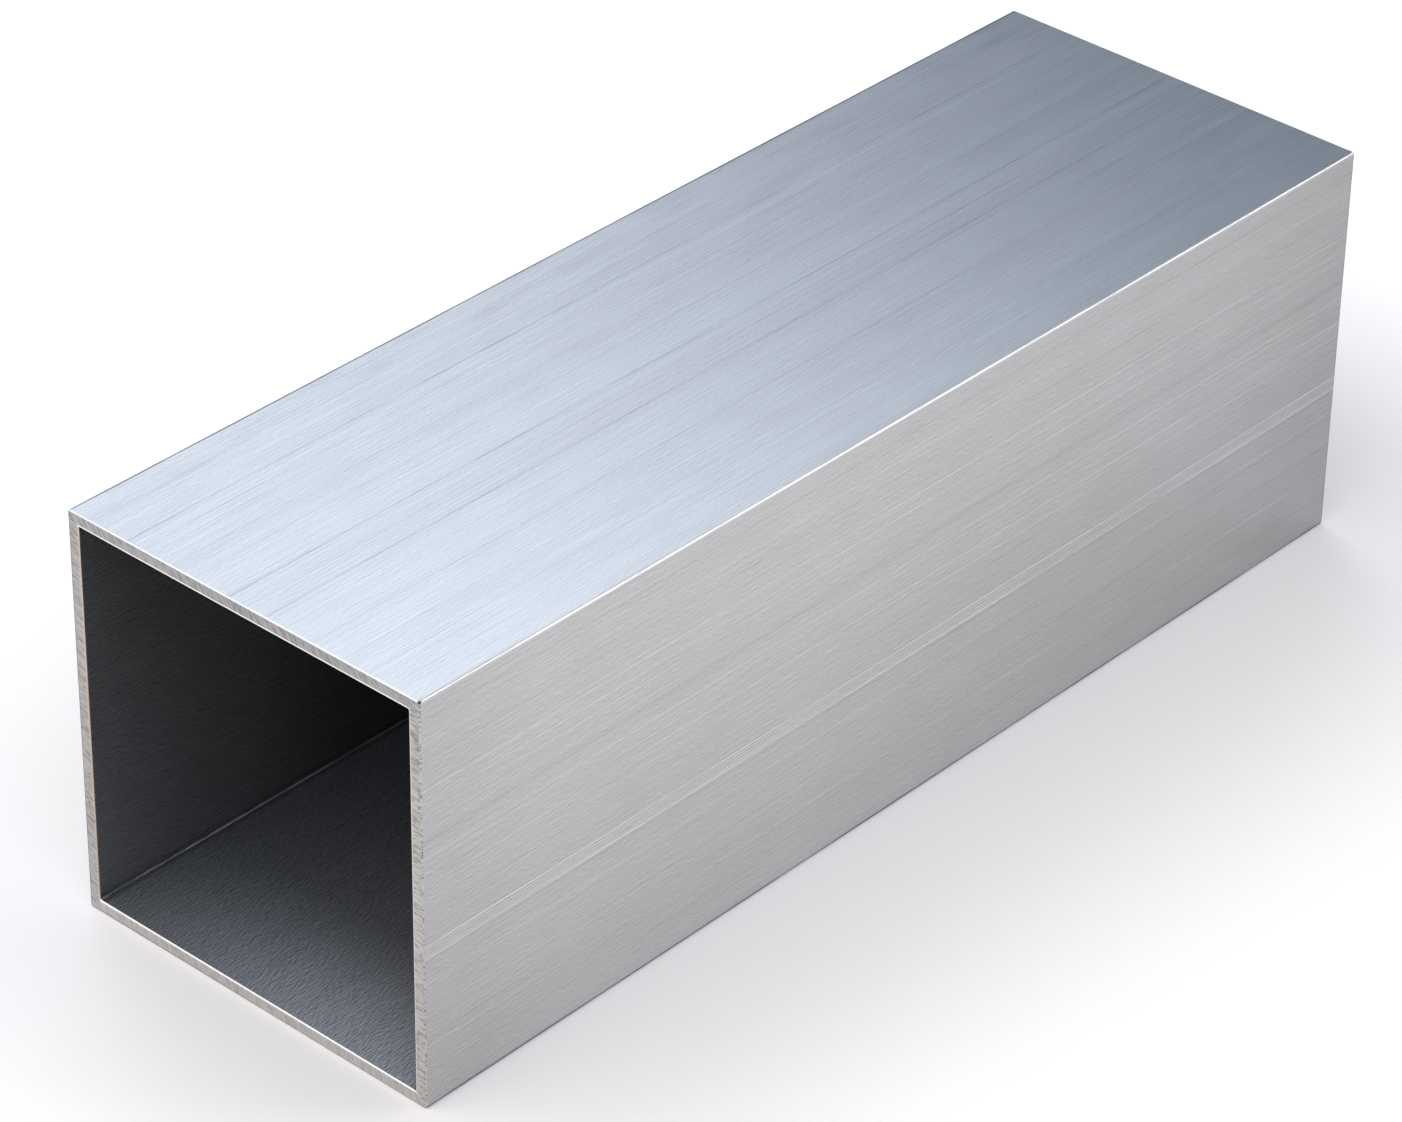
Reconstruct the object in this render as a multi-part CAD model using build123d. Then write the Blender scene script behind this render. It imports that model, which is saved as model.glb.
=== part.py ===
from build123d import *
import os

# A sawn length of square extruded aluminium tube: one piece of stock, open at both ends.
# Millimetres. The tube lies along Y with +Z up, on the flat of one wall. The origin is at the
# middle of its underside, halfway along its length.

# Section
side = 100.0                # outside, across the flats, both ways
wall = 3.0                  # the same all round
outer_corner_radius = 0.6   # the four outside corners come nearly sharp from the die
inner_corner_radius = 0.4   # the root fillet where two walls meet inside the bore

# Cut length
cut_length = 300.0          # from saw cut to saw cut, both square to the tube
edge_break = 0.25           # deburring chamfer on the outer and inner rims of each cut

bore_side = side - 2 * wall


def square_section(cut_plane):
    """The hollow section, upright on its lower wall, on the plane of a saw cut."""
    with BuildSketch(cut_plane) as section:
        with Locations((0, side / 2)):
            RectangleRounded(side, side, outer_corner_radius)
            RectangleRounded(bore_side, bore_side, inner_corner_radius, mode=Mode.SUBTRACT)
    return section.sketch


def sawn_length():
    """The section run from the cut at +Y to the one at -Y, the way Plane.XZ faces."""
    return extrude(square_section(Plane.XZ.offset(-cut_length / 2)), amount=cut_length)


def deburr(tube):
    """Breaks the sharp arrises that the saw leaves round the outside and the bore of both ends."""
    cuts = tube.faces().filter_by(Axis.Y)
    return chamfer(cuts.edges(), edge_break)


square_tube = deburr(sawn_length())

os.makedirs("parts", exist_ok=True)
export_step(square_tube, "parts/square_tube.step")
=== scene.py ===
import math

import bpy
import numpy as np
from mathutils import Matrix, Vector


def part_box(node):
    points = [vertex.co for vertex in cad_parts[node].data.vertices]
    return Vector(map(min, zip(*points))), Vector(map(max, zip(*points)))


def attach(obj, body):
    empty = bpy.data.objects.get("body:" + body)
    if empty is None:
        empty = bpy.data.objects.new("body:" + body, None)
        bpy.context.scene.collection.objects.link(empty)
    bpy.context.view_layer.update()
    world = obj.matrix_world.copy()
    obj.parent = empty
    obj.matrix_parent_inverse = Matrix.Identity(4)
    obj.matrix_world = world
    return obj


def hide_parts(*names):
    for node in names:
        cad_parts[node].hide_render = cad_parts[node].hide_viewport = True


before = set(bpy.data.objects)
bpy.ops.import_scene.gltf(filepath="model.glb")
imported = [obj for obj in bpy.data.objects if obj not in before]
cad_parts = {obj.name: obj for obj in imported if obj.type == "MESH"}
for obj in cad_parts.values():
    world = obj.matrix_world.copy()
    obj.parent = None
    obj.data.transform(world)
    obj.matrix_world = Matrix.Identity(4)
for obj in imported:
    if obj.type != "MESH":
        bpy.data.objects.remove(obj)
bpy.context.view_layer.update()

# A sawn length of square aluminium tube: the looks of the CAD node "square_tube", in metres.
# The tube lies along Y, its near cut faces -Y, and the underside is at z = 0.

TUBE = "square_tube"
MM = 0.001

# ---------------------------------------------------------------------------------------------
# Sizes. The side and the length come from the frame, and the rest repeat the section's values.

node_low, node_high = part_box(TUBE)
SIDE = node_high.x - node_low.x
LENGTH = node_high.y - node_low.y
HALF_SIDE = SIDE / 2
HALF_LENGTH = LENGTH / 2
CENTRE_Z = (node_low.z + node_high.z) / 2
WALL = 3.0 * MM
OUTER_RADIUS = 0.6 * MM
INNER_RADIUS = 0.4 * MM
EDGE_BREAK = 0.25 * MM

# How fine the mesh is
STATION_STEP = 0.30 * MM              # round the section, on the flats
CLOSEST_STATIONS = 0.015 * MM         # so that none of the mesh's faces has zero area
CLEAR_OF_LINES = 0.4 * STATION_STEP   # how far an even station keeps from a die line's own
CORNER_STEPS = 6                      # round each corner
RINGS = 4                             # along the walls
END_ROWS = 8                          # across the wall thickness on a cut
BREAK_STEPS = 3                       # round each broken arris
SUPPORT = 0.12 * MM                   # the close ring beside an arris that keeps the flats flat
SUPPORT_SHARE = 0.04                  # the same across a cut, as a share of the wall

# The knock on the near upper right corner
NICK_DEPTH = 0.22 * MM
NICK_REACH = 0.45 * MM
NICK_WAY = (-1.0, 0.6, -1.0)
NICK_RINGS = (0.7, 1.0, 1.4, 2.0)   # the rings that carry it, in mm from the near cut

# Die lines: long drag marks of the extrusion die. Each is (place across the wall from its
# middle, half width, height, tone), in mm, with tone above 0 lighter and below 0 darker.
DIE_LINES = {
    "left": [
        (-41.5, 0.5, 0.008, 0.35), (-31.0, 0.4, 0.012, 0.50), (-29.8, 0.3, 0.010, 0.40),
        (-19.0, 1.6, 0.004, -0.15), (-12.0, 0.4, -0.010, -0.35), (-2.5, 0.4, 0.008, 0.35),
        (8.0, 0.5, 0.010, 0.40), (15.5, 0.3, -0.008, -0.30), (27.0, 0.4, -0.010, -0.45),
        (38.0, 0.5, 0.010, 0.35),
    ],
    "top": [
        (-45.6, 0.4, 0.008, 0.25), (-41.0, 0.5, 0.008, 0.30), (-38.0, 0.6, 0.010, 0.40),
        (-32.5, 0.4, -0.010, -0.50), (-30.4, 0.7, 0.008, 0.35), (-28.5, 0.4, -0.006, -0.30),
        (-26.5, 0.5, 0.008, 0.30), (-23.2, 0.6, 0.008, 0.35), (-19.4, 0.3, -0.010, -0.40),
        (-15.2, 1.8, 0.004, 0.28), (-13.1, 0.35, -0.008, -0.35), (-10.4, 0.5, -0.006, -0.20),
        (-3.2, 0.4, -0.014, -0.85), (-1.0, 0.5, 0.006, 0.30), (0.4, 0.35, -0.010, -0.35),
        (1.9, 0.45, -0.012, -0.60), (3.8, 0.35, -0.010, -0.35), (5.4, 0.4, 0.008, 0.25),
        (7.3, 0.45, -0.014, -0.80), (9.0, 0.4, -0.006, -0.30), (13.0, 0.35, -0.008, -0.30),
        (20.4, 0.45, -0.012, -0.60), (28.2, 0.4, 0.008, 0.25), (28.9, 0.3, -0.008, -0.30),
        (33.5, 1.2, 0.004, 0.15), (35.7, 0.35, -0.010, -0.50), (36.9, 0.5, 0.008, 0.30),
        (42.2, 0.4, -0.008, -0.30),
    ],
    "right": [
        (-45.0, 0.5, -0.006, -0.25), (-39.5, 0.4, 0.006, 0.20), (-35.5, 0.5, -0.006, -0.25),
        (-30.0, 0.3, 0.006, 0.25), (-28.4, 0.35, 0.012, 0.60), (-25.2, 0.35, 0.008, 0.35),
        (-22.4, 0.3, 0.008, 0.40), (-18.5, 0.3, 0.006, 0.25), (-16.2, 1.1, -0.004, -0.22),
        (-12.2, 0.3, 0.012, 0.55), (-10.6, 0.35, 0.006, 0.30), (-8.6, 0.3, 0.006, 0.25),
        (-5.5, 0.3, 0.012, 0.60), (-4.3, 0.3, 0.006, 0.25), (-2.0, 0.35, 0.006, 0.30),
        (1.5, 0.4, -0.006, -0.25), (8.9, 0.24, -0.006, -0.30), (9.3, 0.26, 0.016, 1.55),
        (9.72, 0.22, -0.006, -0.35), (10.1, 0.22, 0.010, 0.80), (10.5, 0.22, -0.006, -0.30),
        (10.9, 0.22, 0.010, 0.60), (11.3, 0.22, -0.006, -0.30), (11.65, 0.22, 0.010, 0.90),
        (12.0, 0.20, -0.006, -0.30), (12.35, 0.26, 0.016, 1.45), (13.3, 0.6, -0.006, -0.28),
        (18.7, 0.35, 0.008, 0.35), (20.2, 0.3, -0.006, -0.25), (27.8, 0.5, -0.006, -0.25),
        (34.6, 0.35, 0.008, 0.40), (41.5, 0.5, -0.006, -0.20),
    ],
    "bottom": [
        (-35.0, 0.5, -0.012, -0.4), (-21.0, 0.4, 0.008, 0.35), (-14.0, 0.5, 0.012, 0.4),
        (-6.5, 0.3, -0.008, -0.3), (3.0, 0.4, 0.010, 0.4), (11.0, 0.3, 0.008, 0.3),
        (22.0, 0.5, -0.010, -0.4), (33.0, 0.4, 0.010, 0.35),
    ],
}
WALLS = ("left", "top", "right", "bottom")   # clockwise, seen from the near cut
TOP_PAINTED_SHEEN = 0.5               # painted sheen: the top's tone rises this much from its middle to its right edge

# The painted light on the corner that ends each wall: a painted highlight on the ridge at the end of the
# top, and painted shade on the rest. The painted shade of a dark corner runs on to the flats beside it,
# weaker.
CORNER_PAINTED_LIGHT = {"left": -4.5, "top": 2.4, "right": -1.7, "bottom": -1.7}
CORNER_REACH = 0.30 * MM
CORNER_FLAT_SHARE = 0.6

# The saw's marks on a cut, wall by wall: how far a mark runs round for each length across the
# wall, its pitch in mm and how dark it is. In the mesh they are waves of several pitches.
SAW_MARKS = {"left": (0.36, 0.55, 0.46), "top": (-0.70, 0.66, 0.44),
             "right": (0.12, 0.70, 0.40), "bottom": (-0.36, 0.52, 0.28)}
SAW_DEPTH = 0.008 * MM
SAW_WAVES = ((1.30 * MM, 0.5), (1.07 * MM, 0.7), (2.9 * MM, 0.5))   # (pitch, weight)
SAW_PHASE = 40.0             # radians for each mm of a wave's pitch, to set the waves apart
SAW_EASE = 10.0              # how soon the waves start in from the two rims of a cut


# ---------------------------------------------------------------------------------------------
# The tube's mesh: one closed grid, round the section one way and round the wall the other.

def wall_stations(wall, half_flat):
    """Places across one wall, from -half_flat to half_flat, closer together at its die lines."""
    lines = [(at * MM, width * MM) for at, width, _, _ in DIE_LINES[wall]]
    marks = sorted(at + share * width for at, width in lines for share in (-1.0, -0.5, 0.0, 0.5, 1.0))
    fine = [marks[0]]
    for mark in marks[1:]:
        if mark - fine[-1] > CLOSEST_STATIONS:
            fine.append(mark)
    even = np.linspace(-half_flat, half_flat, round(2 * half_flat / STATION_STEP) + 1)
    coarse = [x for x in even if min(abs(x - other) for other in fine) > CLEAR_OF_LINES]
    return np.array(sorted(fine + coarse))


def section_stations():
    """Every station round the section: its wall, its place across the flat as a share, and its turn."""
    half_flat = HALF_SIDE - OUTER_RADIUS
    stations = []
    for number, wall in enumerate(WALLS):
        for place in wall_stations(wall, half_flat):
            stations.append((number, place / half_flat, 0.0))
        for step in range(1, CORNER_STEPS):
            stations.append((number, 1.0, math.pi / 2 * step / CORNER_STEPS))
    return np.array(stations)


def section_loop(stations, half, radius):
    """Points (x, z) and outward normals of a rounded square at the stations."""
    number, share, turn = stations.T
    facing = math.pi - number * math.pi / 2          # the way the wall faces, anticlockwise from +X
    along = facing - math.pi / 2                     # the way the stations run
    flat = half - radius
    normal = np.stack([np.cos(facing - turn), np.sin(facing - turn)], 1)
    corner = (np.stack([np.cos(facing), np.sin(facing)], 1) * flat
              + np.stack([np.cos(along), np.sin(along)], 1) * (share * flat)[:, None])
    points = corner + normal * radius
    points[:, 1] += CENTRE_Z
    return points, normal


def travel(points):
    """The distance run round a closed loop at each point, and the whole way round at the end."""
    steps = np.linalg.norm(np.roll(points, -1, 0) - points, axis=1)
    return np.concatenate([[0.0], np.cumsum(steps)])


def die_relief_and_painted_light(stations):
    """Height of the die lines at each station, and the tone of the die lines with painted light: a
    painted sheen across the top, a painted highlight on its ridge and painted shade on the other corners.
    """
    number, share, turn = stations.T
    half_flat = HALF_SIDE - OUTER_RADIUS
    place = share * half_flat
    flat = turn == 0
    height = np.zeros(len(stations))
    tone = np.zeros(len(stations))
    for index, wall in enumerate(WALLS):
        here = flat & (number == index)
        for at, width, rise, shade in DIE_LINES[wall]:
            shape = np.clip(1 - ((place - at * MM) / (width * MM)) ** 2, 0, 1) ** 2
            height += np.where(here, shape * rise * MM, 0)
            tone += np.where(here, shape * shade, 0)
    # a painted sheen across the top, then a painted highlight on the top's ridge or painted shade on each
    # other corner and the flats beside it
    tone += np.where(flat & (number == WALLS.index("top")), TOP_PAINTED_SHEEN * share, 0)
    for index, wall in enumerate(WALLS):
        shade = CORNER_PAINTED_LIGHT[wall]
        rounded = ~flat & (number == index)
        if shade > 0:
            tone += np.where(rounded, shade * np.sin(2 * turn) ** 2, 0)
            continue
        before = flat & (number == index) & (half_flat - place < CORNER_REACH)
        after = flat & (number == (index + 1) % len(WALLS)) & (half_flat + place < CORNER_REACH)
        tone += np.where(rounded, shade, 0) + np.where(before | after, shade * CORNER_FLAT_SHARE, 0)
    return height, tone


def rows():
    """The grid's rows, round the wall: (zone, share from outer to inner face, inset, y)."""
    far = HALF_LENGTH
    out = []
    runs = np.concatenate([
        [-far + EDGE_BREAK, -far + EDGE_BREAK + SUPPORT],
        np.linspace(-far, far, RINGS + 2)[1:-1],
        [far - EDGE_BREAK - SUPPORT, far - EDGE_BREAK]])
    turns = np.linspace(0, math.pi / 2, BREAK_STEPS + 1)[1:-1]
    across = np.concatenate([
        [0.0, SUPPORT_SHARE], np.linspace(0, 1, END_ROWS + 1)[1:-1], [1.0 - SUPPORT_SHARE, 1.0]])

    def arris(outer, end, opening):
        steps = turns if opening else turns[::-1]
        for turn in steps:
            out.append(("arris", 0.0 if outer else 1.0, EDGE_BREAK * (1 - math.cos(turn)),
                        end * (far - EDGE_BREAK * (1 - math.sin(turn)))))

    outer_runs = np.sort(np.concatenate([runs, -far + np.array(NICK_RINGS) * MM]))
    out += [("outer", 0.0, 0.0, y) for y in outer_runs]
    arris(True, 1, True)
    out += [("cut", share, EDGE_BREAK, far) for share in across]
    arris(False, 1, False)
    out += [("bore", 1.0, 0.0, y) for y in runs[::-1]]
    arris(False, -1, True)
    out += [("cut", 1 - share, EDGE_BREAK, -far) for share in across]
    arris(True, -1, False)
    return out


def saw_relief(stations, around, share):
    """Height of the saw's marks on a cut, for one row across the wall: waves of uneven pitch."""
    lean = np.array([SAW_MARKS[wall][0] for wall in WALLS])[stations[:, 0].astype(int)]
    at = around[:-1] + lean * share * WALL
    height = np.zeros(len(at))
    for pitch, weight in SAW_WAVES:
        waves = round(around[-1] / pitch)
        height += weight * np.sin(2 * math.pi * waves * at / around[-1] + SAW_PHASE * pitch / MM)
    return SAW_DEPTH * height * min(1.0, SAW_EASE * share * (1 - share))


def nick(points):
    """Pushes in what lies at the near upper right corner."""
    corner = np.array([HALF_SIDE, -HALF_LENGTH, CENTRE_Z + HALF_SIDE])
    inward = np.array(NICK_WAY) / np.linalg.norm(NICK_WAY)
    near = np.exp(-(np.linalg.norm(points - corner, axis=-1) / NICK_REACH) ** 2)
    return points + NICK_DEPTH * near[..., None] * inward


def tube_grid():
    """The grid's points, each row's zone, each point's tone and the distances round the outside."""
    stations = section_stations()
    outer, outer_normal = section_loop(stations, HALF_SIDE, OUTER_RADIUS)
    inner, inner_normal = section_loop(stations, HALF_SIDE - WALL, INNER_RADIUS)
    height, tone = die_relief_and_painted_light(stations)
    around = travel(outer)
    grid, zones, tones = [], [], []
    for zone, share, inset, y in rows():
        if zone == "outer":
            xz = outer + outer_normal * height[:, None]
        elif zone == "bore":
            xz = inner
        elif zone == "arris" and share == 0:
            xz = outer - outer_normal * inset
        elif zone == "arris":
            xz = inner + inner_normal * inset
        else:
            low = outer - outer_normal * inset
            high = inner + inner_normal * inset
            xz = low + (high - low) * share
        ys = np.full(len(xz), y)
        if zone == "cut":
            ys = ys - math.copysign(1.0, y) * np.abs(saw_relief(stations, around, share))
        grid.append(np.stack([xz[:, 0], ys, xz[:, 1]], 1))
        zones.append(zone)
        tones.append(tone if zone == "outer" else np.zeros(len(xz)))
    return nick(np.array(grid)), zones, np.array(tones), around


def build_tube():
    """The tube as one mesh object, with its UV map, its tones and a material slot for each zone."""
    grid, zones, tones, around = tube_grid()
    count_rows, count_stations, _ = grid.shape
    below = np.arange(count_rows * count_stations).reshape(count_rows, count_stations)
    above = np.roll(below, -1, 0)
    quads = np.stack([below, np.roll(below, -1, 1), np.roll(above, -1, 1), above], -1).reshape(-1, 4)
    mesh = bpy.data.meshes.new("square_tube_finish")
    mesh.from_pydata(grid.reshape(-1, 3).tolist(), [], quads.tolist())
    mesh.update()

    # U is the distance round the outside, and V the one along and round the wall, taken in the
    # middle of the left wall
    run = travel(grid[:, count_stations // 8])
    uv = np.zeros((count_rows, count_stations, 4, 2))
    uv[..., 0, 0] = uv[..., 3, 0] = around[:-1]
    uv[..., 1, 0] = uv[..., 2, 0] = around[1:]
    uv[..., 0, 1] = uv[..., 1, 1] = run[:-1, None]
    uv[..., 2, 1] = uv[..., 3, 1] = run[1:, None]
    layer = mesh.uv_layers.new(name="tube")
    layer.data.foreach_set("uv", uv.astype(np.float32).ravel())

    # the die lines' tone, with the painted sheen on the top, the painted highlight on its ridge and the
    # painted shade on the other corners
    tone = mesh.attributes.new("die_lines_and_painted_light", "FLOAT", "POINT")
    tone.data.foreach_set("value", tones.astype(np.float32).ravel())

    slots = {"outer": 0, "cut": 1, "arris": 2, "bore": 3}
    row_slot = []
    for row in range(count_rows):
        first, second = zones[row], zones[(row + 1) % count_rows]
        row_slot.append(slots[first] if first == second else slots["arris"])
    mesh.polygons.foreach_set("material_index", np.repeat(row_slot, count_stations))
    mesh.polygons.foreach_set("use_smooth", np.ones(len(mesh.polygons), bool))
    mesh.validate()
    piece = bpy.data.objects.new("square_tube_finish", mesh)
    bpy.context.scene.collection.objects.link(piece)
    return piece


# ---------------------------------------------------------------------------------------------
# Materials. Marks are laid out on the developed surface: how far round the section, and how far
# along the wall. A mark's level lies about 0, and a mask runs from 0 to 1.

BRUSH_SLANT = -0.08        # the short strokes run this much across for each length along, off the top
FACE_BLEND = 1.0 * MM      # how soon a wall's mask fades past its corner
MITRE_BLEND = 1.5 * MM     # how gradually one wall's tone on a cut gives way to the next
ARRIS_BLEND = 0.3 * MM     # the same on the broken arrises
BORE_SLANT = -0.12         # the lean of the bore's strokes
CROSSED_SLANT = 0.02       # and that of the second, nearly straight set


def colour(r, g, b):
    return (r, g, b, 1.0)


NICK_COLOUR = colour(0.05, 0.05, 0.055)
PAINTED_EDGE_SHADE = colour(0.16, 0.16, 0.17)
BRIGHT_METAL = colour(0.80, 0.80, 0.80)
GREY_METAL = colour(0.34, 0.34, 0.345)


class Graph:
    """A short way to write the node tree of a material or a world."""

    def __init__(self, owner):
        self.owner = owner
        owner.use_nodes = True
        self.tree = owner.node_tree
        self.shader = self.tree.nodes.get("Principled BSDF")

    def node(self, kind, inputs=(), **settings):
        made = self.tree.nodes.new(kind)
        for key, value in settings.items():
            setattr(made, key, value)
        for key, value in dict(inputs).items():
            self.put(made.inputs[key], value)
        return made

    def put(self, socket, value):
        if isinstance(value, bpy.types.NodeSocket):
            self.tree.links.new(value, socket)
        else:
            socket.default_value = value

    def math(self, operation, a, b=0.0, c=0.0):
        made = self.node("ShaderNodeMath", operation=operation)
        for socket, value in zip(made.inputs, (a, b, c)):
            self.put(socket, value)
        return made.outputs[0]

    def add(self, a, b):
        return self.math("ADD", a, b)

    def subtract(self, a, b):
        return self.math("SUBTRACT", a, b)

    def divide(self, a, b):
        return self.math("DIVIDE", a, b)

    def absolute(self, value):
        return self.math("ABSOLUTE", value)

    def largest(self, a, b):
        return self.math("MAXIMUM", a, b)

    def above(self, value, limit):
        return self.math("GREATER_THAN", value, limit)

    def below(self, value, limit):
        return self.math("LESS_THAN", value, limit)

    def product(self, first, *others):
        for other in others:
            first = self.math("MULTIPLY", first, other)
        return first

    def line(self, value, slope, offset):
        """slope * value + offset"""
        return self.math("MULTIPLY_ADD", value, slope, offset)

    def opposite(self, mask):
        return self.subtract(1.0, mask)

    def total(self, *terms):
        """The sum of (value, weight) pairs."""
        whole = self.product(*terms[0])
        for value, weight in terms[1:]:
            whole = self.line(value, weight, whole)
        return whole

    def map(self, value, low, high, to_low=0.0, to_high=1.0, smooth=False):
        """Takes the range from low to high to the one from to_low to to_high, and stops at its ends."""
        made = self.node("ShaderNodeMapRange", interpolation_type="SMOOTHSTEP" if smooth else "LINEAR")
        for name, number in zip(("Value", "From Min", "From Max", "To Min", "To Max"),
                                (value, low, high, to_low, to_high)):
            self.put(made.inputs[name], number)
        return made.outputs[0]

    def ramp(self, value, low, high, to_low=0.0, to_high=1.0):
        """The same, eased at both ends."""
        return self.map(value, low, high, to_low, to_high, smooth=True)

    def mix(self, share, a, b):
        """Colour a, with this share of colour b."""
        made = self.node("ShaderNodeMix", data_type="RGBA")
        for name, value in (("Factor", share), ("A", a), ("B", b)):
            self.put(made.inputs[name], value)
        return made.outputs["Result"]

    def scaled(self, tint, gain):
        """A colour made this many times as light."""
        made = self.node("ShaderNodeMix", {"Factor": 1.0}, data_type="RGBA", blend_type="MULTIPLY")
        self.put(made.inputs["A"], tint)
        self.put(made.inputs["B"], colour(gain, gain, gain))
        return made.outputs["Result"]

    def choose(self, mask, a, b):
        """The number a, and b where the mask is 1."""
        return self.node("ShaderNodeMix", {"Factor": mask, "A": a, "B": b}).outputs[0]

    def vector(self, x, y, z):
        return self.node("ShaderNodeCombineXYZ", {"X": x, "Y": y, "Z": z}).outputs[0]

    def noise(self, vector, detail=0.0, roughness=0.5):
        """Smooth noise about 0, roughly between -0.5 and 0.5."""
        made = self.node("ShaderNodeTexNoise", {"Vector": vector, "Scale": 1.0, "Detail": detail,
                                                "Roughness": roughness})
        return self.subtract(made.outputs["Fac"], 0.5)

    def streaks(self, across, along, width, length, slant=0.0, seed=0.0, detail=0.0, roughness=0.5):
        """Noise drawn out lengthwise: width and length are a streak's own, in metres."""
        leaned = self.subtract(across, self.product(along, slant))
        place = self.vector(self.divide(leaned, width), self.divide(along, length), seed)
        return self.noise(place, detail, roughness)

    def fine(self, across, along, width, length, slant=0.0, seed=0.0):
        """Streaks without their broad part: the difference between two places one width apart."""
        sides = [self.streaks(self.add(across, shift), along, width, length, slant, seed)
                 for shift in (width / 2, -width / 2)]
        return self.subtract(*sides)

    def developed(self):
        """The distance round the section and the one along the wall, from the tube's own UV map."""
        uv = self.node("ShaderNodeUVMap", uv_map="tube").outputs[0]
        split = self.node("ShaderNodeSeparateXYZ", {"Vector": uv})
        return split.outputs[0], split.outputs[1]

    def place(self):
        """X, Y and the height above the tube's axis."""
        position = self.node("ShaderNodeNewGeometry").outputs["Position"]
        x, y, z = self.node("ShaderNodeSeparateXYZ", {"Vector": position}).outputs
        return x, y, self.subtract(z, CENTRE_Z)

    def along_the_brushing(self, anisotropic):
        """Draws highlights out across the brushing, which runs along the tube."""
        self.put(self.shader.inputs["Anisotropic"], anisotropic)
        tangent = self.node("ShaderNodeTangent", direction_type="UV_MAP", uv_map="tube").outputs[0]
        self.put(self.shader.inputs["Tangent"], tangent)

    def bump(self, height, depth, invert=False):
        made = self.node("ShaderNodeBump", {"Height": height, "Strength": 1.0, "Distance": depth},
                         invert=invert)
        self.put(self.shader.inputs["Normal"], made.outputs[0])

    def metal(self, base, roughness, metallic=1.0):
        """Sets the shader's colour, roughness and metal, and returns the finished material."""
        self.put(self.shader.inputs["Base Color"], base)
        self.put(self.shader.inputs["Roughness"], roughness)
        self.put(self.shader.inputs["Metallic"], metallic)
        return self.owner


def knocked(g, x, y, z, solid=0.45 * MM, clear=0.78 * MM):
    """1 at the near upper right corner, where the tube was knocked."""
    offset = g.vector(g.subtract(x, HALF_SIDE), g.add(y, HALF_LENGTH), g.subtract(z, HALF_SIDE))
    away = g.node("ShaderNodeVectorMath", {0: offset}, operation="LENGTH").outputs["Value"]
    return g.ramp(away, solid, clear, 1.0, 0.0)


def wall_masks(g, x, z, blend):
    """1 on the upper wall, and 1 on the lower one, of the four that meet at the mitres."""
    upper = g.ramp(g.subtract(z, g.absolute(x)), -blend, blend)
    lower = g.ramp(g.add(z, g.absolute(x)), -blend, blend, 1.0, 0.0)
    return upper, lower


def right_wall_shade(g, y, z):
    """Painted shade: how much darker the right wall is at its foot and its two ends."""
    foot = g.ramp(z, -10 * MM, -HALF_SIDE)
    far = g.map(y, -30 * MM, HALF_LENGTH)
    tip = g.ramp(y, HALF_LENGTH - 50 * MM, HALF_LENGTH)
    near = g.ramp(y, -HALF_LENGTH, -HALF_LENGTH + 40 * MM, 1.0, 0.0)
    return g.total((far, -0.32), (tip, -0.08), (g.product(foot, tip), 0.04), (near, -0.10),
                   (g.product(foot, far), 0.08), (g.product(foot, near), -0.04), (foot, -0.06))


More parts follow.
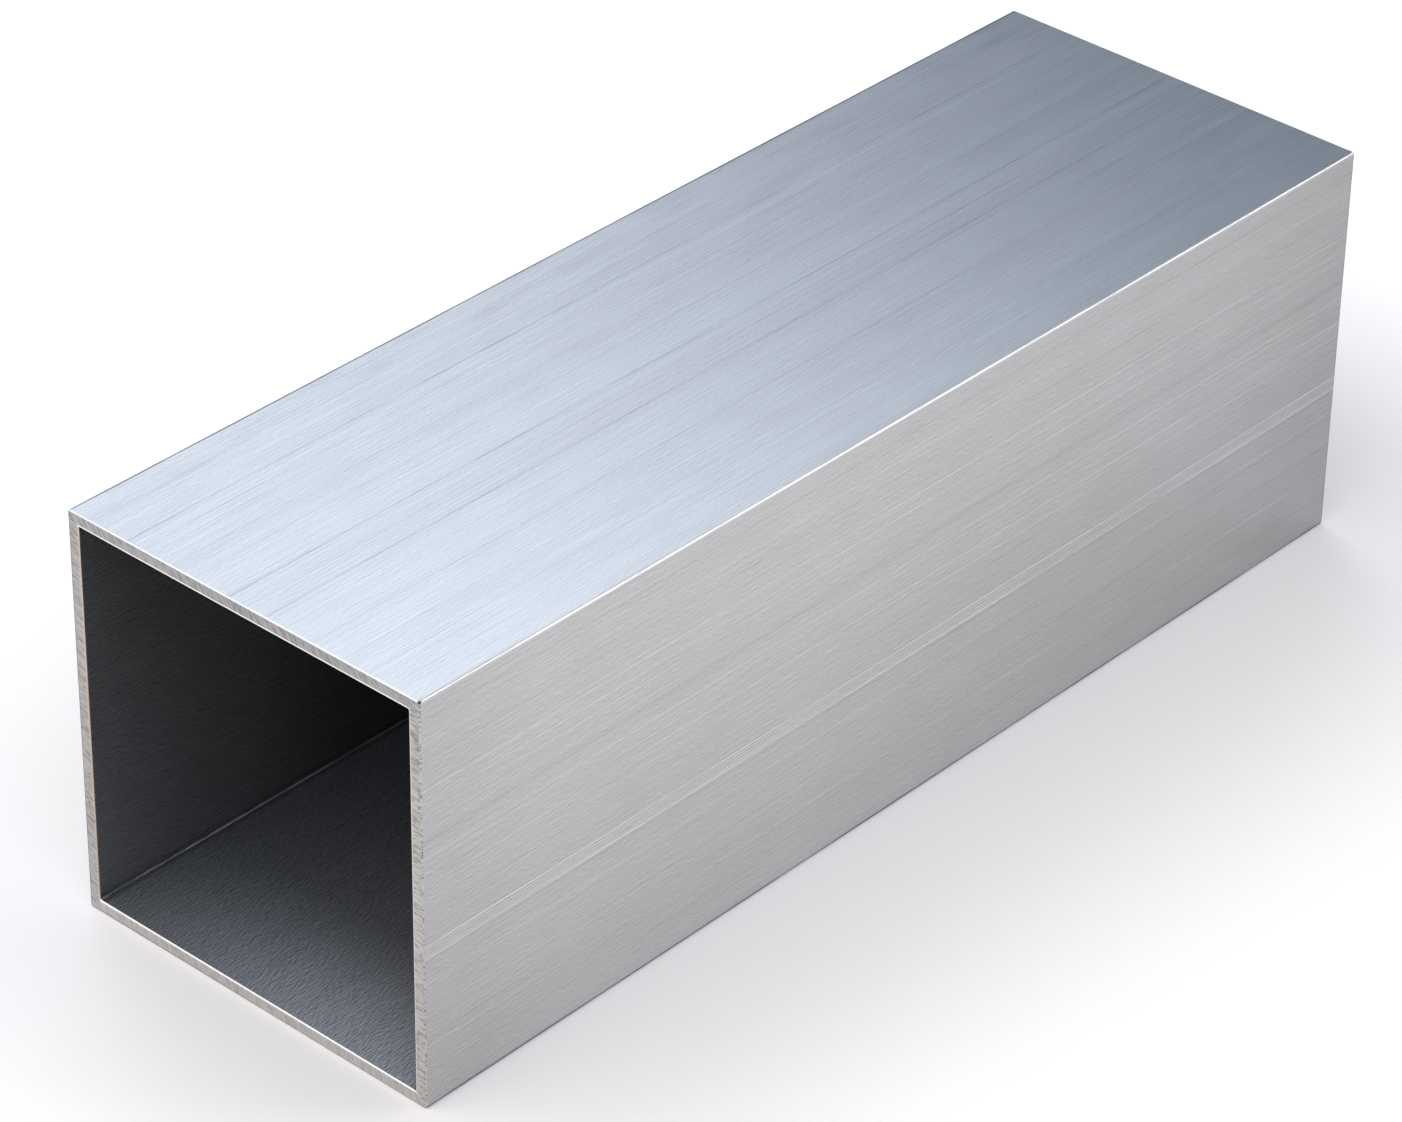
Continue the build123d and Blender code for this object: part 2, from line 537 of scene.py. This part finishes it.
def brushed_outside():
    """The four walls: lengthwise grain of several sizes, the tone of the die lines and soft bands, with
    painted light: a sheen, a ridge highlight and corner shade, and painted shade on the right wall and
    beside the cuts.
    """
    g = Graph(bpy.data.materials.new("brushed_aluminium"))
    across, along = g.developed()
    x, y, z = g.place()
    on_top = g.map(z, HALF_SIDE - FACE_BLEND, HALF_SIDE)
    on_right = g.map(x, HALF_SIDE - FACE_BLEND, HALF_SIDE)
    slant = g.product(g.opposite(on_top), BRUSH_SLANT)

    # short marks, which are softer on the top
    strokes = g.fine(across, along, 0.34 * MM, 1.5 * MM, slant, 1.3)
    dashes = g.fine(across, along, 0.42 * MM, 5.0 * MM, g.product(slant, 0.4), 5.9)
    grit = g.streaks(across, along, 1.4 * MM, 1.4 * MM, 0.0, 15.1, 2.0, 0.8)
    short_marks = g.total((strokes, 0.28), (dashes, 0.15), (grit, 0.12))
    short_marks = g.product(short_marks, g.line(on_top, -0.25, 1.0))

    # long marks, which are stronger on the top
    hair = g.fine(across, along, 0.40 * MM, 40 * MM, 0.0, 4.1)
    lines = g.streaks(across, along, 1.1 * MM, 60 * MM, 0.0, 6.6, 1.0)
    long_marks = g.total((hair, 0.22), (lines, 0.08))
    long_marks = g.product(long_marks, g.line(on_top, 0.25, 0.75))
    far_share = g.line(on_right, -0.2, 0.7)      # what is left of the grain at the far end
    marks = g.product(g.add(short_marks, long_marks), g.map(y, 0.0, HALF_LENGTH, 1.0, far_share))

    # die lines, which come and go along the wall, with the painted sheen, ridge highlight and corner
    # shade
    fading = g.streaks(across, along, 4 * MM, 20 * MM, 0.0, 17.2, 1.0)
    die_lines_and_painted_light = g.node("ShaderNodeAttribute", attribute_name="die_lines_and_painted_light").outputs["Fac"]
    die_lines_and_painted_light = g.product(die_lines_and_painted_light, g.line(fading, 2.2, 1.0), g.line(on_top, -0.13, 0.32))

    bands = g.streaks(across, along, 6.0 * MM, 350 * MM, 0.0, 8.7)
    clouds = g.streaks(across, along, 8 * MM, 13 * MM, 0.0, 12.9)
    # the level takes in the painted shade of the right wall
    level = g.total((marks, 1.0), (bands, 0.13), (clouds, 0.06), (die_lines_and_painted_light, 1.0),
                    (g.product(on_right, bands), -0.06),
                    (g.product(on_right, right_wall_shade(g, y, z)), 1.0))
    base = g.mix(g.add(level, 0.5), GREY_METAL, BRIGHT_METAL)
    # darker still where the tone is lowest: the dark die lines and the painted shade of the corners
    base = g.mix(g.map(die_lines_and_painted_light, -0.10, -0.55), base, colour(0.13, 0.14, 0.16))

    # painted shade in a thin verge beside each cut, off the top, and fainter beside the near one
    verge = g.ramp(g.absolute(y), HALF_LENGTH - 0.50 * MM, HALF_LENGTH - 0.25 * MM, 0.0, 0.6)
    verge = g.product(verge, g.opposite(on_top), g.map(y, -10 * MM, 10 * MM, 0.15, 1.0))
    base = g.mix(verge, base, PAINTED_EDGE_SHADE)

    g.along_the_brushing(0.9)
    g.bump(g.total((strokes, 0.3), (hair, 0.2)), 0.008 * MM)
    return g.metal(g.mix(knocked(g, x, y, z), base, NICK_COLOUR), g.line(lines, 0.06, 0.31))


def saw_marks(g, x, z, inward):
    """Marks across each wall of a cut, each leaned by how far in from the outside it has run."""
    on_right = g.above(x, 0.0)
    on_top = g.above(g.subtract(z, g.absolute(x)), 0.0)
    on_bottom = g.below(g.add(z, g.absolute(x)), 0.0)
    marks = 0.0
    for wall, mask, run, way in (("left", 1.0, z, 1.0), ("right", on_right, z, -1.0),
                                 ("top", on_top, x, 1.0), ("bottom", on_bottom, x, -1.0)):
        lean, pitch, depth = SAW_MARKS[wall]
        start = g.line(inward, lean, g.product(run, way))
        place = g.vector(g.divide(start, pitch * MM), g.divide(inward, 5.0 * MM), 3.0 + lean)
        cut = g.ramp(g.absolute(g.noise(place, 1.0, 0.4)), 0.0, 0.10, depth, 0.0)
        marks = g.choose(mask, marks, cut)
    return marks


def sawn_end():
    """A cut face: linished across each wall, so the marks turn at the mitres, with painted light on each
    wall.
    """
    g = Graph(bpy.data.materials.new("sawn_aluminium"))
    x, y, z = g.place()
    upper, lower = wall_masks(g, x, z, MITRE_BLEND)
    right = g.above(x, 0.0)
    inward = g.subtract(HALF_SIDE, g.largest(g.absolute(x), g.absolute(z)))
    # a tone for each wall of the cut that paints how light falls on it, darkest on the upper wall and
    # lightest on the right
    tone = g.mix(right, colour(0.50, 0.485, 0.47), colour(0.585, 0.562, 0.537))
    tone = g.mix(upper, tone, colour(0.40, 0.39, 0.385))
    tone = g.mix(lower, tone, colour(0.57, 0.55, 0.53))

    # painted shade beside the outside, off the upper wall, and a painted highlight beside the bore
    verge = g.ramp(inward, EDGE_BREAK, EDGE_BREAK + 0.22 * MM, 1.0, 0.0)
    painted_outside_shade = g.product(verge, g.opposite(upper), g.line(right, -0.55, 0.70))
    tone = g.mix(painted_outside_shade, tone, colour(0.16, 0.15, 0.14))
    rim = g.ramp(inward, WALL - EDGE_BREAK - 0.30 * MM, WALL - EDGE_BREAK - 0.16 * MM)
    level_rims = g.largest(upper, g.product(lower, 0.6))
    lit = g.product(rim, g.largest(level_rims, g.line(right, 0.22, 0.15)))
    tone = g.mix(lit, tone, colour(0.92, 0.91, 0.90))

    # marks, specks and painted shade at the head of the two upright walls
    marks = saw_marks(g, x, z, inward)
    specks = g.noise(g.vector(g.divide(x, 0.9 * MM), g.divide(z, 0.9 * MM), 0.5), 1.0)
    head = g.product(g.map(z, 0.0, 45 * MM), g.line(right, 0.10, 0.10), g.opposite(upper))
    shade = g.product(g.total((marks, 1.0), (specks, -0.20), (head, 1.0)), g.opposite(lit))
    tone = g.mix(shade, tone, colour(0.06, 0.055, 0.05))

    g.bump(marks, 0.02 * MM, invert=True)
    return g.metal(g.mix(knocked(g, x, y, z), tone, NICK_COLOUR), g.line(marks, 0.2, 0.47))


def broken_arris():
    """The rims of the cuts, in painted light: painted highlights along the upper outer rim and the bore's
    rims, with a warm painted fringe on the bore's left one, and painted shade along the other outer rims,
    broken by pits up the sides.
    """
    g = Graph(bpy.data.materials.new("arris_painted_light"))
    x, y, z = g.place()
    upper, lower = wall_masks(g, x, z, ARRIS_BLEND)
    right = g.above(x, 0.0)
    far = g.above(y, 0.0)
    reach = g.largest(g.absolute(x), g.absolute(z))
    on_outside = g.above(reach, HALF_SIDE - WALL / 2)
    place = g.vector(*(g.divide(way, 0.6 * MM) for way in (x, y, z)))
    patches = g.ramp(g.noise(place, 1.0), -0.13, 0.03)

    # painted shade up the outer sides, darker on the right and at the far cut, broken by pits; then a
    # painted highlight on the upper outer rim and painted shade on the lower one
    pits_and_side_shade = g.mix(patches, colour(0.25, 0.235, 0.22), colour(0.56, 0.55, 0.54))
    pits_and_side_shade = g.mix(right, colour(0.13, 0.12, 0.11), pits_and_side_shade)
    pits_and_side_shade = g.mix(far, pits_and_side_shade, colour(0.15, 0.15, 0.16))
    outside = g.mix(upper, pits_and_side_shade, colour(0.74, 0.75, 0.78))
    outside = g.mix(lower, outside, colour(0.20, 0.19, 0.18))
    # painted highlights along the bore's rims, with a warm painted fringe on the left one
    inside = g.mix(right, colour(0.60, 0.47, 0.36), colour(0.86, 0.84, 0.82))
    inside = g.mix(upper, inside, colour(0.92, 0.92, 0.92))
    inside = g.mix(lower, inside, colour(0.95, 0.94, 0.93))
    edge = g.mix(on_outside, inside, outside)
    edge = g.mix(g.map(patches, 0.0, 1.0, 0.10, 0.0), edge, colour(0.2, 0.19, 0.18))
    return g.metal(g.mix(knocked(g, x, y, z), edge, NICK_COLOUR), 0.32)


def bore_inside():
    """The bore: dark, with painted light towards its mouths, on its roof and on the right of its bed, and
    short strokes along it.
    """
    g = Graph(bpy.data.materials.new("bore_painted_light"))
    x, y, z = g.place()
    across, along = g.developed()
    bore_half = HALF_SIDE - WALL
    depth = g.subtract(HALF_LENGTH, g.absolute(y))
    deep = g.ramp(depth, 0.0, 40 * MM)
    deepest = g.ramp(depth, 35 * MM, 90 * MM)
    on_bed = g.ramp(z, -bore_half, -bore_half + 1.5 * MM, 1.0, 0.0)

    strokes = g.fine(across, along, 0.30 * MM, 1.6 * MM, BORE_SLANT, 21.3)
    crossed = g.fine(across, along, 0.30 * MM, 1.4 * MM, CROSSED_SLANT, 22.9)
    lines = g.streaks(across, along, 0.9 * MM, 25 * MM, 0.0, 24.8, 1.0)
    mottle = g.streaks(across, along, 5 * MM, 9 * MM, 0.0, 29.4, 1.0)
    grit = g.streaks(across, along, 1.3 * MM, 1.3 * MM, 0.0, 31.7, 2.0, 0.8)
    level = g.total((strokes, 1.15), (crossed, 0.60), (lines, 0.25), (mottle, 0.10), (grit, 0.45))
    level = g.product(level, g.map(on_bed, 0.0, 1.0, 0.65, 1.0))

    # painted light on the walls: lighter at the mouth and towards the roof
    walls = g.mix(deepest, colour(0.42, 0.42, 0.425), colour(0.20, 0.20, 0.205))
    roof = g.mix(deepest, colour(0.38, 0.38, 0.385), colour(0.64, 0.64, 0.645))
    walls = g.mix(g.ramp(z, 0.0, 45 * MM), walls, roof)

    # painted light on the bed: lighter at the mouth and towards the right
    bed = g.mix(deep, colour(0.43, 0.462, 0.525), colour(0.143, 0.151, 0.170))
    bed = g.mix(deepest, bed, colour(0.13, 0.132, 0.138))
    painted_light_to_right = g.ramp(x, -52 * MM, 30 * MM, 0.11, 1.0)
    bed = g.mix(painted_light_to_right, colour(0.10, 0.105, 0.115), bed)
    tone = g.mix(on_bed, walls, bed)

    # the root fillets: a broken painted highlight in a painted soft shade
    corner = g.math("MINIMUM", g.absolute(x), g.absolute(z))
    shadow = g.ramp(corner, bore_half - 2.2 * MM, bore_half - 0.5 * MM, 0.0, 0.55)
    tone = g.mix(shadow, tone, colour(0.03, 0.03, 0.035))
    root = g.ramp(corner, bore_half - 0.42 * MM, bore_half - 0.22 * MM)
    root = g.product(root, g.map(mottle, -0.15, 0.05, 0.35, 1.0), g.map(deepest, 0.0, 1.0, 0.9, 0.25))
    tone = g.mix(root, tone, colour(0.40, 0.38, 0.36))

    base = g.mix(g.add(level, 0.5), g.scaled(tone, 0.5), g.scaled(tone, 1.5))
    g.along_the_brushing(0.5)
    g.bump(strokes, 0.006 * MM)
    return g.metal(base, g.line(lines, 0.1, 0.47), g.map(on_bed, 0.0, 1.0, 1.0, 0.5))


tube = build_tube()
for material in (brushed_outside(), sawn_end(), broken_arris(), bore_inside()):
    tube.data.materials.append(material)
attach(tube, "root")
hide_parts(TUBE)


# ---------------------------------------------------------------------------------------------
# Camera: the photograph's viewing angle

CAMERA_AZIMUTH = math.radians(41.79)
CAMERA_ELEVATION = math.radians(33.29)
CAMERA_ROLL = math.radians(0.90)
CAMERA_DISTANCE = 1.2063
CAMERA_LENS_MM = 141.4
CAMERA_SENSOR_MM = 36.0
CAMERA_AIM = Vector((-0.00314, -0.01003, 0.04180))


def add_camera():
    data = bpy.data.cameras.new("camera")
    data.lens = CAMERA_LENS_MM
    data.sensor_width = CAMERA_SENSOR_MM
    camera = bpy.data.objects.new("camera", data)
    back = Vector((math.sin(CAMERA_AZIMUTH) * math.cos(CAMERA_ELEVATION),
                   -math.cos(CAMERA_AZIMUTH) * math.cos(CAMERA_ELEVATION),
                   math.sin(CAMERA_ELEVATION)))
    turn = back.to_track_quat("Z", "Y").to_matrix() @ Matrix.Rotation(CAMERA_ROLL, 3, "Z")
    camera.matrix_world = Matrix.Translation(CAMERA_AIM + back * CAMERA_DISTANCE) @ turn.to_4x4()
    bpy.context.scene.collection.objects.link(camera)
    bpy.context.scene.camera = camera


# ---------------------------------------------------------------------------------------------
# Floor and light

FLOOR_SIZE = 60.0
FLOOR_TINT = colour(0.805, 0.775, 0.77)
WHITE = colour(1.0, 1.0, 1.0)
CEILING_TINT = colour(0.50, 0.48, 0.45)
PANEL_TINT = colour(1.545, 1.715, 1.975)
FLAG_TINT = colour(0.018, 0.090, 0.19)


def distance_from_tube(g):
    """How far a place on the floor is from the tube's footprint."""
    position = g.node("ShaderNodeNewGeometry").outputs["Position"]
    place = g.node("ShaderNodeSeparateXYZ", {"Vector": position}).outputs
    aside = [g.largest(g.subtract(g.absolute(way), reach), 0.0)
             for way, reach in ((place[0], HALF_SIDE), (place[1], HALF_LENGTH))]
    squares = [g.math("POWER", distance, 2.0) for distance in aside]
    return g.math("SQRT", g.add(*squares))


def add_floor():
    """A pale floor, white a little way off, where it glows more; close round the tube it glows less,
    which adds a painted soft shade to its own shadow.
    """
    mesh = bpy.data.meshes.new("floor")
    half = FLOOR_SIZE / 2
    corners = [(-half, -half, 0), (half, -half, 0), (half, half, 0), (-half, half, 0)]
    mesh.from_pydata(corners, [], [(0, 1, 2, 3)])
    floor = bpy.data.objects.new("floor", mesh)
    bpy.context.scene.collection.objects.link(floor)

    g = Graph(bpy.data.materials.new("floor"))
    path = g.node("ShaderNodeLightPath").outputs
    seen = g.largest(path["Is Camera Ray"], g.largest(path["Is Glossy Ray"], path["Is Transmission Ray"]))
    away = distance_from_tube(g)
    # glow that grows away from the tube, to the eye and in the metal alike, which paints a soft shade
    # round the tube
    lift = g.product(seen, g.ramp(away, 0.0, 0.40, 0.05, 0.37))
    whiter = g.ramp(away, 0.0, 0.14, 0.0, 0.15)      # painted shade round the tube, to the eye alone and not in the metal: it glows whiter away from the tube
    g.shader.inputs["Base Color"].default_value = FLOOR_TINT
    g.shader.inputs["Roughness"].default_value = 0.9
    g.shader.inputs["Emission Color"].default_value = WHITE
    g.put(g.shader.inputs["Emission Strength"], g.line(path["Is Camera Ray"], whiter, lift))
    mesh.materials.append(g.owner)


def add_world():
    """White at the horizon, and above it a dim ceiling, two cool panels and two dark flags.

    The panels stand at the back left and the front right, and the flags at the front and the back.
    """
    g = Graph(bpy.data.worlds.new("studio"))
    bpy.context.scene.world = g.owner
    direction = g.node("ShaderNodeTexCoord").outputs["Generated"]
    x, y, z = g.node("ShaderNodeSeparateXYZ", {"Vector": direction}).outputs
    crosswise = g.ramp(g.product(x, y, -1.0), -0.06, 0.10)
    panel = g.product(crosswise, g.ramp(g.absolute(x), 0.20, 0.40))
    sky = g.mix(panel, CEILING_TINT, PANEL_TINT)
    reach = g.add(g.absolute(y), g.product(g.absolute(x), 0.25))
    flag = g.ramp(reach, 0.753, 0.832)
    sky = g.mix(flag, sky, FLAG_TINT)
    sky = g.mix(g.ramp(z, 0.09, 0.22), WHITE, sky)
    background = g.tree.nodes["Background"]
    g.put(background.inputs["Color"], sky)
    background.inputs["Strength"].default_value = 1.0


def add_lamp(name, toward, distance, size, power, tint, roll=0.0):
    """A soft lamp, (wide, high), that faces the tube from one side and is rolled about its own axis."""
    data = bpy.data.lights.new(name, "AREA")
    data.shape = "RECTANGLE"
    data.size, data.size_y = size
    data.energy = power
    data.color = tint
    lamp = bpy.data.objects.new(name, data)
    toward = Vector(toward).normalized()
    lamp.matrix_world = (Matrix.Translation(Vector((0, 0, CENTRE_Z)) + toward * distance)
                         @ toward.to_track_quat("Z", "Y").to_matrix().to_4x4()
                         @ Matrix.Rotation(roll, 4, "Z"))
    bpy.context.scene.collection.objects.link(lamp)


add_camera()
add_floor()
add_world()
add_lamp("key", toward=(-0.16, -0.72, 0.68), distance=1.2, size=(1.6, 1.6), power=12.0,
         tint=(1.0, 0.97, 0.93))
add_lamp("rim", toward=(0.540, 0.627, 0.556), distance=2.0, size=(1.15, 0.20), power=7.4,
         tint=(1.0, 0.98, 0.95), roll=math.radians(-33.7))

scene = bpy.context.scene
scene.view_settings.view_transform = "Standard"
